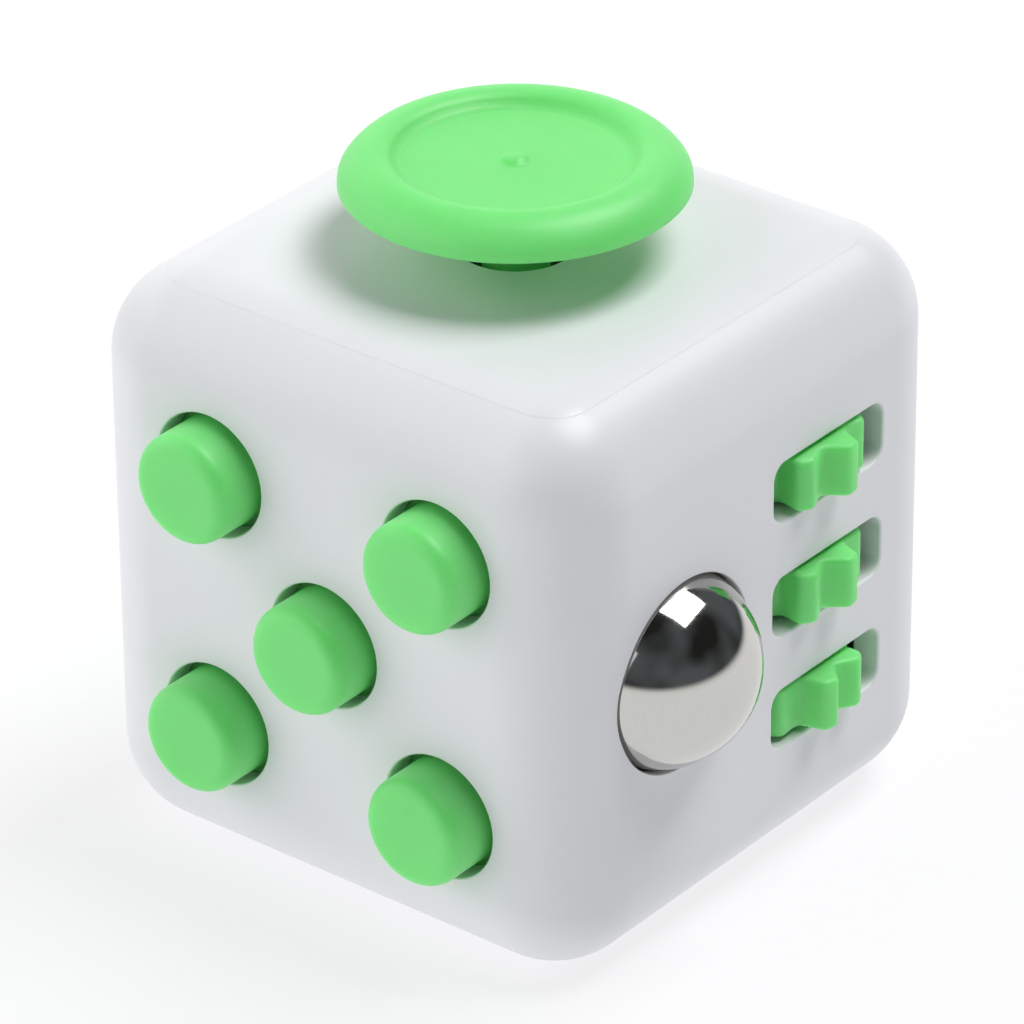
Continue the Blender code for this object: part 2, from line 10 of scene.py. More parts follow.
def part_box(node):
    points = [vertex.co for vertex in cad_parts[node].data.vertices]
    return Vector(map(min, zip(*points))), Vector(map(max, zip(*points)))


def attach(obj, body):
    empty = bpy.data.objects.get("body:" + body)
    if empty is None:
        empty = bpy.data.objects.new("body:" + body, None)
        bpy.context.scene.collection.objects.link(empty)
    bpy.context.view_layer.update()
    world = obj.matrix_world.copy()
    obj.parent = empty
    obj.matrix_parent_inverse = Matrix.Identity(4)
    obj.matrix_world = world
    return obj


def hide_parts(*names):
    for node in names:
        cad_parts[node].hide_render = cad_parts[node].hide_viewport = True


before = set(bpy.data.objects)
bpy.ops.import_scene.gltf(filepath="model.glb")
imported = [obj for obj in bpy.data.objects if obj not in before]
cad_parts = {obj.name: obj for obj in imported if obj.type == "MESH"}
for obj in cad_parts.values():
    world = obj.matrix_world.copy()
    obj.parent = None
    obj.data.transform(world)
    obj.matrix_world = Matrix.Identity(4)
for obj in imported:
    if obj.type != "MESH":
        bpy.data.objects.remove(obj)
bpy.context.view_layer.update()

# ---------------------------------------------------------------- body shell
# The box of the toy: one injection moulding in white ABS, open at the top, with a hole, window,
# seat or dish in each face and the screw bosses standing on the inside of its 1.6 mm wall.
MM = 0.001
SHELL_LOW, SHELL_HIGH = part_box("body_shell")
MIDDLE = (SHELL_LOW + SHELL_HIGH) / 2
MIDDLE.z = (SHELL_LOW.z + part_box("top_cover")[1].z) / 2
HALF = (SHELL_HIGH.x - SHELL_LOW.x) / 2 / MM     # half width of the cube, 16.5 mm
EDGE_R = 5.2                                     # outside rounding of every edge
WALL = 1.6
RIM_R = 0.16                                     # softened edge round each opening
SEAM = 16.0                                      # height of the joint under the cover
SEAM_EASE = 0.025                                # edge broken along the joint
PILOT_R = 0.65                                   # pilot hole for a self-tapping screw
BUTTONS = ["click_button_%d" % k for k in (1, 2, 3, 4, 5)]
GEARS = ["gear_upper", "gear_middle", "gear_lower"]


def measured(node):
    """Lowest corner, highest corner and middle of a CAD node, in mm from the cube's middle."""
    low, high = [(corner - MIDDLE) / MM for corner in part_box(node)]
    return low, high, (low + high) / 2


def linear(hex_code):
    """An sRGB hex colour as linear red, green, blue and alpha."""
    parts = [int(hex_code[k:k + 2], 16) / 255 for k in (1, 3, 5)]
    return [c / 12.92 if c <= 0.04045 else ((c + 0.055) / 1.055) ** 2.4 for c in parts] + [1.0]


def add(finish, kind, values=None, links=None, **settings):
    """Adds one node to a material, sets its properties and sockets, and links its inputs."""
    made = finish.node_tree.nodes.new(kind)
    for name, value in settings.items():
        setattr(made, name, value)
    for socket, value in (values or {}).items():
        made.inputs[socket].default_value = value
    for socket, source in (links or {}).items():
        finish.node_tree.links.new(source, made.inputs[socket])
    return made


def new_finish(name):
    """An empty node material and its object-space coordinates, which move with the piece."""
    finish = bpy.data.materials.new(name)
    finish.use_nodes = True
    finish.node_tree.nodes.clear()
    return finish, add(finish, "ShaderNodeTexCoord").outputs["Object"]


def surfaced(finish, values, links):
    """Ends a material with its Principled shader."""
    shader = add(finish, "ShaderNodeBsdfPrincipled", values, links)
    add(finish, "ShaderNodeOutputMaterial", None, {"Surface": shader.outputs["BSDF"]})


# Satin moulded ABS, cool white. Flow clouds 9 mm wide keep the big faces from looking drawn, and
# spark-eroded mould grain, 0.03 mm in steel and drawn at 0.14 mm so that it shows, softens gloss.
white_abs, spot = new_finish("white_abs_satin_moulded")
clouds = add(white_abs, "ShaderNodeTexNoise", {"Scale": 1 / (9 * MM), "Detail": 3.0}, {"Vector": spot})
grain = add(white_abs, "ShaderNodeTexNoise", {"Scale": 1 / (0.14 * MM), "Detail": 2.0}, {"Vector": spot})
tint = add(white_abs, "ShaderNodeMixRGB", {"Color1": linear("#E3E4E8"), "Color2": linear("#E7E8EB")},
           {"Fac": clouds.outputs["Fac"]})
gloss = add(white_abs, "ShaderNodeMapRange", {"To Min": 0.34, "To Max": 0.44},
            {"Value": grain.outputs["Fac"]})
dimple = add(white_abs, "ShaderNodeBump", {"Strength": 0.25, "Distance": 0.003 * MM},
             {"Height": grain.outputs["Fac"]})
surfaced(white_abs, {"IOR": 1.53},
         {"Base Color": tint.outputs["Color"], "Roughness": gloss.outputs["Result"],
          "Normal": dimple.outputs["Normal"]})


def turn(axis, a, b, h):
    """Cross-section values a and b with height h along the axis, as x, y, z."""
    return {"X": (h, a, b), "Y": (a, h, b), "Z": (a, b, h)}[axis]


def as_object(name, points, faces):
    """Mesh object from points in mm and faces, with its normals outward."""
    mesh = bpy.data.meshes.new(name)
    bm = bmesh.new()
    verts = [bm.verts.new(p) for p in points]
    for face in faces:
        bm.faces.new([verts[k] for k in face])
    bmesh.ops.recalc_face_normals(bm, faces=bm.faces)
    bm.to_mesh(mesh)
    bm.free()
    made = bpy.data.objects.new(name, mesh)
    bpy.context.scene.collection.objects.link(made)
    return made


def skin(name, rings):
    """Closed skin over rings of points with flat ends; a ring of one point closes to a pole."""
    points = [p for ring in rings for p in ring]
    rows = []
    for ring in rings:
        first = rows[-1][-1] + 1 if rows else 0
        rows.append(list(range(first, first + len(ring))))
    faces = [row for row in (rows[0], rows[-1]) if len(row) > 1]
    for low, high in zip(rows, rows[1:]):
        count = max(len(low), len(high))
        for k in range(count):
            m = (k + 1) % count
            corners = [low[k % len(low)], low[m % len(low)], high[m % len(high)], high[k % len(high)]]
            faces.append(list(dict.fromkeys(corners)))
    return as_object(name, points, faces)


def turned(name, profile, axis, centre, around=96):
    """Round piece from a profile of (radius, height) points about an axis."""
    rings = []
    for r, h in profile:
        ways = [2 * pi * k / around for k in range(around if r > 1e-6 else 1)]
        rings.append([turn(axis, centre[0] + r * cos(w), centre[1] + r * sin(w), h) for w in ways])
    return skin(name, rings)


def peg(name, axis, centre, r, low, high, around=32):
    """Plain round bar used for bosses, bores and pilot holes."""
    return turned(name, [(r, low), (r, high)], axis, centre, around)


def rectangle(low, high, r, steps=8):
    """Outline of a rectangle with rounded corners."""
    points = []
    for k, (u, v) in enumerate(((1, 1), (0, 1), (0, 0), (1, 0))):
        mid_a = high[0] - r if u else low[0] + r
        mid_b = high[1] - r if v else low[1] + r
        for s in range(steps + 1):
            w = pi / 2 * (k + s / steps)
            points.append((mid_a + r * cos(w), mid_b + r * sin(w)))
    return points


def slab(name, low, high, r, axis, start, end):
    """Rounded rectangle pushed straight along an axis."""
    outline = rectangle(low, high, r)
    return skin(name, [[turn(axis, a, b, h) for a, b in outline] for h in (start, end)])


def flare(face, way, r=RIM_R, steps=5):
    """(widening, height) steps that round the edge where an opening meets an outer face.

    The steps end 0.003 mm proud of the face, so that the tool cuts through it cleanly."""
    ways = [pi / 2 * k / steps for k in range(steps + 1)]
    lip = [(r * (1 - cos(w)), face - way * (r * (1 - sin(w)) - 0.003)) for w in ways]
    return lip + [(r, face + way)]


def round_hole(name, axis, centre, r, inside, face, way, rim=RIM_R, around=96):
    """Tool for a round hole with a softened mouth."""
    lip = [(r + wide, h) for wide, h in flare(face, way, rim)]
    return turned(name, [(r, inside)] + lip, axis, centre, around)


def window(name, axis, low, high, r, inside, face, way):
    """Tool for a window with rounded corners and a softened mouth."""
    rings = []
    for wide, h in [(0.0, inside)] + flare(face, way):
        outline = rectangle((low[0] - wide, low[1] - wide), (high[0] + wide, high[1] + wide), r + wide)
        rings.append([turn(axis, a, b, h) for a, b in outline])
    return skin(name, rings)


def rounded_cube(name, half, r, steps):
    """Cube with ball corners and cylindrical edges."""
    core = half - r
    grid = [core + r * tan(pi / 4 * k / steps) for k in range(steps + 1)]
    grid = [-g for g in reversed(grid)] + grid
    points, faces, index = [], [], {}
    for axis in "XYZ":
        for side in (-half, half):
            for i in range(len(grid) - 1):
                for j in range(len(grid) - 1):
                    face = []
                    for a, b in ((i, j), (i + 1, j), (i + 1, j + 1), (i, j + 1)):
                        p = Vector(turn(axis, grid[a], grid[b], side))
                        mid = Vector([max(-core, min(core, c)) for c in p])
                        p = mid + (p - mid).normalized() * r
                        key = tuple(round(c, 5) for c in p)
                        if key not in index:
                            index[key] = len(points)
                            points.append(p)
                        face.append(index[key])
                    faces.append(face)
    return as_object(name, points, faces)


def shaped(made, tools, operation="DIFFERENCE"):
    """Cuts the tools from a piece, or welds them on, and takes the tools away."""
    for tool in tools:
        step = made.modifiers.new("tool", "BOOLEAN")
        step.operation, step.solver, step.object = operation, "EXACT", tool
    seen = made.evaluated_get(bpy.context.evaluated_depsgraph_get())
    mesh = bpy.data.meshes.new_from_object(seen)
    made.modifiers.clear()
    made.data = mesh
    for tool in tools:
        bpy.data.objects.remove(tool)
    return made


def soften_seam(made, height, size):
    """Breaks the outer edge that a moulding shows at the seam."""
    bm = bmesh.new()
    bm.from_mesh(made.data)
    edges = []
    for edge in bm.edges:
        level = all(abs(v.co.z - height) < 1e-4 for v in edge.verts)
        if level and any(0.5 < abs(f.normal.z) < 0.97 for f in edge.link_faces):
            edges.append(edge)
    bmesh.ops.bevel(bm, geom=edges, offset=size, segments=2, profile=0.5, affect="EDGES")
    bm.to_mesh(made.data)
    bm.free()


def moulded(made, finish, crease=34):
    """Brings a piece from mm about the cube's middle to its place, smooth, in its material."""
    made.data.transform(Matrix.Translation(MIDDLE) @ Matrix.Scale(MM, 4))
    made.data.materials.clear()
    made.data.materials.append(finish)
    made.data.shade_smooth()
    made.data.set_sharp_from_angle(angle=radians(crease))
    even = made.modifiers.new("even shading", "WEIGHTED_NORMAL")
    even.keep_sharp = True
    return made


BALL_LOW, BALL_HIGH, BALL = measured("roll_ball")
BALL_R = (BALL_HIGH.x - BALL_LOW.x) / 2
GEAR_AXIS = (measured("gear_shaft")[2].x, measured("gear_shaft")[2].y)
DISH_R, DISH_DEEP = 9.5, 2.2
DISH_BALL = (DISH_R ** 2 + DISH_DEEP ** 2) / (2 * DISH_DEEP)
DISH_Z = DISH_DEEP - HALF - DISH_BALL

DISH_WALL, DISH_BACK_R = 1.5, 9.62

# Where the bosses stand: behind the buttons, the ball, the cogs and the rocker.
PLATE_SCREWS = [(u * 11.8, v * 11.8) for u in (-1, 1) for v in (-1, 1)]
BALL_SCREWS = [(BALL.y, BALL.z + v * 9.2) for v in (-1, 1)]
GEAR_SCREWS = [(11.8, 3.35), (-0.8, -9.05)]
FLIP_SCREWS = [(0, v * 8.7) for v in (-1, 1)]

shell = rounded_cube("shell", HALF, EDGE_R, 9)
shaped(shell, [rounded_cube("cavity", HALF - WALL, EDGE_R - WALL, 3)])
back = DISH_BALL + DISH_WALL
ways = [asin(DISH_BACK_R / back) * k / 6 for k in range(7)]
dish_back = [(back * sin(w), DISH_Z + back * cos(w)) for w in ways]
bosses = [turned("dish_back", dish_back + [(DISH_BACK_R, 0.8 - HALF)], "Z", (0, 0), 64)]
bosses += [peg("boss", "Y", at, 1.5, -15.2, -12.3) for at in PLATE_SCREWS]
bosses += [peg("boss", "X", at, 1.5, 9.5, 15.4) for at in BALL_SCREWS]
bosses += [peg("boss", "X", at, 1.4, 9.05, 15.4) for at in GEAR_SCREWS]
bosses += [peg("boss", "Y", at, 1.4, 12.5, 15.4) for at in FLIP_SCREWS]
shaped(shell, bosses, "UNION")

# The cover takes over at the seam, and its spigot goes into the mouth.
MOUTH, MOUTH_R = 12.55, 1.25
tools = [slab("above", (-20, -20), (20, 20), 1, "Z", SEAM - 0.001, 20),
         slab("mouth", (-MOUTH, -MOUTH), (MOUTH, MOUTH), MOUTH_R, "Z", 12, 17)]

BUTTON_HOLE_R = 3.5
for node in BUTTONS:
    at = measured(node)[2]
    tools.append(round_hole("button_hole", "Y", (at.x, at.z), BUTTON_HOLE_R, -14, -HALF, -1, 0.12))

WINDOW_ENDS, WINDOW_HALF, WINDOW_R = (-4.55, 4.9), 1.75, 0.9    # ends measured from the cogs' axis
for node in GEARS:
    z = measured(node)[2].z
    low = (GEAR_AXIS[1] + WINDOW_ENDS[0], z - WINDOW_HALF)
    high = (GEAR_AXIS[1] + WINDOW_ENDS[1], z + WINDOW_HALF)
    tools.append(window("gear_window", "X", low, high, WINDOW_R, 14, HALF, 1))

# The ball's hole narrows to a lip that is smaller than the ball, which holds it in.
BALL_HOLE_R, BALL_ROOM_R = 5.45, 5.75
lip = [(BALL_HOLE_R + wide, h) for wide, h in flare(HALF, 1, 0.08)]
ball_hole = [(BALL_ROOM_R, 13.2), (BALL_ROOM_R, 15.6), (BALL_HOLE_R, 15.85)] + lip
tools.append(turned("ball_hole", ball_hole, "X", (BALL.y, BALL.z), 128))

tools.append(window("rocker_opening", "Y", (-2.9, -6.3), (2.9, 6.3), 0.6, 14, HALF, 1))

DIAL_SEAT_R, DIAL_SEAT_DEEP, AXLE_HOLE_R = 7.4, 0.5, 1.75
floor = DIAL_SEAT_DEEP - HALF
lip = [(DIAL_SEAT_R + wide, h) for wide, h in flare(-HALF, -1)]
dial_seat = [(AXLE_HOLE_R, -14), (AXLE_HOLE_R, floor), (DIAL_SEAT_R, floor)] + lip
tools.append(turned("dial_seat", dial_seat, "X", (0, 0), 128))

# The thumb rest is part of a ball, easing out into the flat base in its last half millimetre.
dish = [(0, DISH_Z + DISH_BALL)]
dish += [(r, DISH_Z + sqrt(DISH_BALL ** 2 - r * r)) for r in [9.3 * k / 12 for k in range(1, 13)]]
dish += [(9.4, -16.447), (9.5, -16.475), (9.6, -16.492), (9.72, -16.503), (9.72, -18)]
tools.append(turned("thumb_rest", dish, "Z", (0, 0), 128))

tools += [peg("pilot", "Y", at, PILOT_R, -14.9, -12) for at in PLATE_SCREWS]
tools += [peg("pilot", "X", at, PILOT_R, 9, 14.6) for at in BALL_SCREWS]
tools += [peg("pilot", "X", at, PILOT_R, 8.5, 14.6) for at in GEAR_SCREWS]
tools += [peg("pilot", "Y", at, PILOT_R, 12, 15.3) for at in FLIP_SCREWS]
shaped(shell, tools)
soften_seam(shell, SEAM - 0.001, SEAM_EASE)
moulded(shell, white_abs)
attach(shell, "body")
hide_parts("body_shell")

# ---------------------------------------------------------------- top cover
# Snap-in lid that closes the shell, white ABS from the same batch. Its spigot and four snap lips
# sit inside the shell's mouth, and the round hole gives the glide pad's stem room to move.
cover = rounded_cube("cover", HALF, EDGE_R, 9)
shaped(cover, [slab("below", (-20, -20), (20, 20), 1, "Z", -20, SEAM + 0.001)])
SPIGOT, SPIGOT_END = 12.4, 13.6
LIP_IN, LIP_OUT, LIP_HALF, LIP_TOP = 12.0, 12.95, 3, 14.2
spigot = [slab("spigot", (-SPIGOT, -SPIGOT), (SPIGOT, SPIGOT), 1.1, "Z", SPIGOT_END, 16.2)]
for u, v in ((1, 0), (-1, 0), (0, 1), (0, -1)):
    low = (min(u * LIP_IN, u * LIP_OUT) - LIP_HALF * abs(v), min(v * LIP_IN, v * LIP_OUT) - LIP_HALF * abs(u))
    high = (max(u * LIP_IN, u * LIP_OUT) + LIP_HALF * abs(v), max(v * LIP_IN, v * LIP_OUT) + LIP_HALF * abs(u))
    spigot.append(slab("snap_lip", low, high, 0.1, "Z", SPIGOT_END, LIP_TOP))
shaped(cover, spigot, "UNION")

WELL, STEM_HOLE_R = 11.4, 3.14
FRAME_SCREWS = [(u * 9.1, v * 9.1) for u in (-1, 1) for v in (-1, 1)]
tools = [slab("well", (-WELL, -WELL), (WELL, WELL), 0.8, "Z", 13, 14.9),
         round_hole("stem_hole", "Z", (0, 0), STEM_HOLE_R, 14, HALF, 1, 0.08)]
tools += [peg("pilot", "Z", at, PILOT_R, 14.5, 15.9) for at in FRAME_SCREWS]
shaped(cover, tools)
soften_seam(cover, SEAM + 0.001, SEAM_EASE)
moulded(cover, white_abs)
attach(cover, "body")
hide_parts("top_cover")

# ---------------------------------------------------------------- click buttons
# Five round push caps moulded in green ABS with a generous radius at the front. They are put in
# from the inside, and a flange behind the wall holds them.
BUTTON_R, BUTTON_ROUND = 3.06, 0.83
FLANGE_R, FLANGE_FRONT, FLANGE_BACK = 3.9, -14.6, -13.9

# Satin moulded ABS, spring green. The dye is even, so only faint flow clouds show. Light goes
# up to 2 mm into the plastic, mostly the green part of it, which lifts the thin edges.
green_abs, spot = new_finish("green_abs_satin_moulded")
clouds = add(green_abs, "ShaderNodeTexNoise", {"Scale": 1 / (5 * MM), "Detail": 3.0}, {"Vector": spot})
grain = add(green_abs, "ShaderNodeTexNoise", {"Scale": 1 / (0.14 * MM), "Detail": 2.0}, {"Vector": spot})
tint = add(green_abs, "ShaderNodeMixRGB", {"Color1": linear("#73E178"), "Color2": linear("#7CE782")},
           {"Fac": clouds.outputs["Fac"]})
gloss = add(green_abs, "ShaderNodeMapRange", {"To Min": 0.40, "To Max": 0.50},
            {"Value": grain.outputs["Fac"]})
dimple = add(green_abs, "ShaderNodeBump", {"Strength": 0.25, "Distance": 0.002 * MM},
             {"Height": grain.outputs["Fac"]})
surfaced(green_abs, {"IOR": 1.53, "Subsurface Weight": 0.55, "Subsurface Radius": (0.25, 1.0, 0.3),
                     "Subsurface Scale": 2 * MM},
         {"Base Color": tint.outputs["Color"], "Roughness": gloss.outputs["Result"],
          "Normal": dimple.outputs["Normal"]})

for k, node in enumerate(BUTTONS):
    low, high, at = measured(node)
    front = low.y
    ways = [pi / 2 * s / 12 for s in range(13)]
    profile = [(0, front), (1.1, front)]
    profile += [(BUTTON_R - BUTTON_ROUND * (1 - sin(w)), front + BUTTON_ROUND * (1 - cos(w))) for w in ways]
    profile += [(BUTTON_R, FLANGE_FRONT - 0.05), (BUTTON_R + 0.05, FLANGE_FRONT),
                (FLANGE_R - 0.05, FLANGE_FRONT), (FLANGE_R, FLANGE_FRONT + 0.05), (FLANGE_R, FLANGE_BACK),
                (0.9, FLANGE_BACK), (0.9, -13.65), (0.85, -13.6), (0, -13.6)]
    cap = moulded(turned("cap_%d" % (k + 1), profile, "Y", (at.x, at.z)), green_abs)
    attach(cap, "button_%d" % (k + 1))
    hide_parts(node)

# ---------------------------------------------------------------- plate and domes behind the buttons
# A moulded plate screwed to four bosses carries the domes: three stamped spring-steel ones
# click and two silicone ones are silent.

# ABS from the grey runner bin, as moulded and never polished: duller, with flow streaks 3 mm wide.
inner_abs, spot = new_finish("inner_abs_as_moulded")
streaks = add(inner_abs, "ShaderNodeTexNoise", {"Scale": 1 / (3 * MM), "Detail": 4.0, "Distortion": 0.6},
              {"Vector": spot})
tint = add(inner_abs, "ShaderNodeMixRGB", {"Color1": linear("#C4C6CA"), "Color2": linear("#D2D3D6")},
           {"Fac": streaks.outputs["Fac"]})
gloss = add(inner_abs, "ShaderNodeMapRange", {"To Min": 0.45, "To Max": 0.6},
            {"Value": streaks.outputs["Fac"]})
dimple = add(inner_abs, "ShaderNodeBump", {"Strength": 0.3, "Distance": 0.01 * MM},
             {"Height": streaks.outputs["Fac"]})
surfaced(inner_abs, {"IOR": 1.53},
         {"Base Color": tint.outputs["Color"], "Roughness": gloss.outputs["Result"],
          "Normal": dimple.outputs["Normal"]})

# Cold-rolled spring steel: bright grey with rolling lines 0.2 mm apart along the strip.
spring_steel, spot = new_finish("spring_steel_cold_rolled")
lines = add(spring_steel, "ShaderNodeTexWave",
            {"Scale": 1 / (0.2 * MM) / 20, "Distortion": 1.5, "Detail": 2.0}, {"Vector": spot},
            bands_direction="Z")
tint = add(spring_steel, "ShaderNodeMixRGB", {"Color1": linear("#BFC0C2"), "Color2": linear("#CFD0D1")},
           {"Fac": lines.outputs["Fac"]})
gloss = add(spring_steel, "ShaderNodeMapRange", {"To Min": 0.22, "To Max": 0.34},
            {"Value": lines.outputs["Fac"]})
surfaced(spring_steel, {"Metallic": 1.0},
         {"Base Color": tint.outputs["Color"], "Roughness": gloss.outputs["Result"]})

# Press-moulded silicone rubber: dark grey with a dusty bloom in 0.4 mm patches.
silicone, spot = new_finish("silicone_rubber_press_moulded")
bloom = add(silicone, "ShaderNodeTexNoise", {"Scale": 1 / (0.4 * MM), "Detail": 3.0}, {"Vector": spot})
tint = add(silicone, "ShaderNodeMixRGB", {"Color1": linear("#6B6E70"), "Color2": linear("#787B7D")},
           {"Fac": bloom.outputs["Fac"]})
gloss = add(silicone, "ShaderNodeMapRange", {"To Min": 0.6, "To Max": 0.8},
            {"Value": bloom.outputs["Fac"]})
surfaced(silicone, {"IOR": 1.43},
         {"Base Color": tint.outputs["Color"], "Roughness": gloss.outputs["Result"]})

# Zinc-plated steel screws: blue-grey, with plating crystals 0.25 mm across.
screw_steel, spot = new_finish("screw_steel_zinc_plated")
crystals = add(screw_steel, "ShaderNodeTexVoronoi", {"Scale": 1 / (0.25 * MM)}, {"Vector": spot})
tint = add(screw_steel, "ShaderNodeMixRGB", {"Color1": linear("#A3A8AE"), "Color2": linear("#BCC0C4")},
           {"Fac": crystals.outputs["Distance"]})
gloss = add(screw_steel, "ShaderNodeMapRange", {"To Min": 0.28, "To Max": 0.42},
            {"Value": crystals.outputs["Distance"]})
surfaced(screw_steel, {"Metallic": 1.0},
         {"Base Color": tint.outputs["Color"], "Roughness": gloss.outputs["Result"]})


def finished(nodes, finish):
    """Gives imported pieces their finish."""
    for node in nodes:
        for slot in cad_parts[node].material_slots:
            slot.material = finish


finished(["click_plate"], inner_abs)
finished(["snap_dome_1", "snap_dome_2", "snap_dome_3"], spring_steel)
finished(["rubber_dome_1", "rubber_dome_2"], silicone)
finished(["click_screw_%d" % k for k in (1, 2, 3, 4)], screw_steel)

# ---------------------------------------------------------------- cog wheels
# Three thick eight-toothed wheels in green ABS, threaded loose on one steel shaft. Every edge is
# rounded in the mould, so the teeth feel soft under the thumb.
GEAR_TURN = {"gear_upper": 7.0, "gear_middle": 10.5, "gear_lower": 31.0}    # degrees
GEAR_TEETH, GEAR_ROUND, BORE_R = 8, 0.3, 0.78
HALF_TOOTH = [(0.0, 4.2), (0.12, 4.198), (0.24, 4.185), (0.36, 4.15), (0.47, 4.085), (0.56, 3.99),
              (0.63, 3.88), (0.73, 3.69), (0.83, 3.49), (0.92, 3.32), (1.01, 3.18), (1.11, 3.055),
              (1.214, 2.97)]            # (across, out from the axis), tip to the middle of the gap
TOOTH = [(-t, r) for t, r in HALF_TOOTH[:0:-1]] + HALF_TOOTH[:-1]


def eased(points, steps, closed=False):
    """Smooth line through all the points."""
    count = len(points)
    line = []
    for k in range(count if closed else count - 1):
        near = [points[(k + s) % count] if closed else points[max(0, min(count - 1, k + s))]
                for s in (-1, 0, 1, 2)]
        for s in range(steps):
            t = s / steps
            weights = (-t ** 3 + 2 * t * t - t, 3 * t ** 3 - 5 * t * t + 2,
                       -3 * t ** 3 + 4 * t * t + t, t ** 3 - t * t)
            line.append(tuple(sum(w * p[c] for w, p in zip(weights, near)) / 2 for c in (0, 1)))
    return line if closed else line + [tuple(points[-1])]


def pillow(name, outline, axis, low, high, r, steps=4):
    """Thick plate cut to an anticlockwise outline, with both end edges rounded to r."""
    levels = [(r * (1 - sin(w)), r * (1 - cos(w))) for w in [pi / 2 * k / steps for k in range(steps + 1)]]
    levels = [(d, low + h) for d, h in levels] + [(d, high - h) for d, h in levels[::-1]]
    rings = []
    for d, h in levels:
        ring = []
        for k, (a, b) in enumerate(outline):
            (a0, b0), (a1, b1) = outline[k - 1], outline[(k + 1) % len(outline)]
            size = hypot(a1 - a0, b1 - b0)
            ring.append(turn(axis, a - d * (b1 - b0) / size, b + d * (a1 - a0) / size, h))
        rings.append(ring)
    return skin(name, rings)


for node in GEARS:
    low, high, at = measured(node)
    corners = []
    for tooth in range(GEAR_TEETH):
        w = radians(GEAR_TURN[node] + 360 / GEAR_TEETH * tooth)
        for t, r in TOOTH:
            corners.append((GEAR_AXIS[0] + r * cos(w) - t * sin(w), GEAR_AXIS[1] + r * sin(w) + t * cos(w)))
    wheel = pillow("cog_" + node[5:], eased(corners, 2, True), "Z", low.z, high.z, GEAR_ROUND)
    shaped(wheel, [peg("bore", "Z", GEAR_AXIS, BORE_R, low.z - 1, high.z + 1)])
    moulded(wheel, green_abs)
    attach(wheel, "cog_" + node[5:])
    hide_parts(node)

# The shaft snaps into a moulded bracket behind the wall, and a steel leaf clicks each wheel.
finished(["gear_shaft", "gear_detent_upper", "gear_detent_middle", "gear_detent_lower"], spring_steel)
finished(["gear_bracket"], inner_abs)
finished(["gear_screw_1", "gear_screw_2"], screw_steel)

# ---------------------------------------------------------------- ball and its sprung socket
# An 11 mm bearing ball, chrome steel lapped to a mirror, held in by the lip of its hole.

# Lapped steel. Its only marks are handling hairlines, 0.02 mm wide and drawn at 0.08 mm.
polished_steel, spot = new_finish("chrome_steel_lapped")
stretch = add(polished_steel, "ShaderNodeMapping",
              {"Rotation": (0.4, 0.7, 0.2), "Scale": (1.0, 14.0, 1.0)}, {"Vector": spot})
hairlines = add(polished_steel, "ShaderNodeTexNoise", {"Scale": 1 / (1.2 * MM), "Detail": 2.0},
                {"Vector": stretch.outputs["Vector"]})
tint = add(polished_steel, "ShaderNodeMixRGB", {"Color1": linear("#C3C2BE"), "Color2": linear("#C9C8C4")},
           {"Fac": hairlines.outputs["Fac"]})
gloss = add(polished_steel, "ShaderNodeMapRange", {"To Min": 0.06, "To Max": 0.09},
            {"Value": hairlines.outputs["Fac"]})
surfaced(polished_steel, {"Metallic": 1.0},
         {"Base Color": tint.outputs["Color"], "Roughness": gloss.outputs["Result"]})

ways = [pi * k / 96 for k in range(97)]
profile = [(BALL_R * sin(w) if 0 < k < 96 else 0.0, BALL.x - BALL_R * cos(w)) for k, w in enumerate(ways)]
ball = moulded(turned("bearing_ball", profile, "X", (BALL.y, BALL.z), 160), polished_steel)
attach(ball, "ball")
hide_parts("roll_ball")

# Behind it are an acetal liner and seat, a coil spring and the bridge that carries them.
# Machined acetal: waxy cream, with turning lines 0.3 mm apart.
acetal, spot = new_finish("acetal_turned")
lines = add(acetal, "ShaderNodeTexWave", {"Scale": 1 / (0.3 * MM) / 20, "Distortion": 0.6},
            {"Vector": spot}, bands_direction="X")
tint = add(acetal, "ShaderNodeMixRGB", {"Color1": linear("#ECE9DF"), "Color2": linear("#F1EFE7")},
           {"Fac": lines.outputs["Fac"]})
gloss = add(acetal, "ShaderNodeMapRange", {"To Min": 0.36, "To Max": 0.46},
            {"Value": lines.outputs["Fac"]})
surfaced(acetal, {"IOR": 1.48},
         {"Base Color": tint.outputs["Color"], "Roughness": gloss.outputs["Result"]})
finished(["ball_liner", "ball_seat"], acetal)
finished(["ball_spring"], spring_steel)
finished(["ball_bracket"], inner_abs)
finished(["ball_screw_1", "ball_screw_2"], screw_steel)

# ---------------------------------------------------------------- glide pad
# A dished thumb disc on a stem, one green ABS moulding, with the stub of its sprue left in the
# middle. It slides on a rider and a carriage under the cover.
TOP = measured("glide_pad")[1].z
PAD_R, UNDERSIDE, STEM_R, FOOT_R, FOOT_TOP = 9.23, 19.95, 1.8, 1.2, 14.68
rim = [(PAD_R, TOP - 1.86), (PAD_R, TOP - 1.8), (9.18, TOP - 1.4), (9.0, TOP - 1.05), (8.7, TOP - 0.7),
       (8.3, TOP - 0.37), (7.8, TOP - 0.12), (7.25, TOP), (6.85, TOP - 0.05), (6.55, TOP - 0.19),
       (6.32, TOP - 0.4), (6.1, TOP - 0.57), (5.82, TOP - 0.66)]
profile = [(0, 12.95), (FOOT_R, 12.95), (FOOT_R, FOOT_TOP), (STEM_R, FOOT_TOP), (STEM_R, 19.1),
           (STEM_R + 0.06, 19.4), (STEM_R + 0.25, 19.7), (STEM_R + 0.6, 19.9), (STEM_R + 1, UNDERSIDE),
           (8.9, UNDERSIDE), (9.12, 20.02)]
profile += [(min(r, PAD_R), min(h, TOP)) for r, h in eased(rim, 5)]
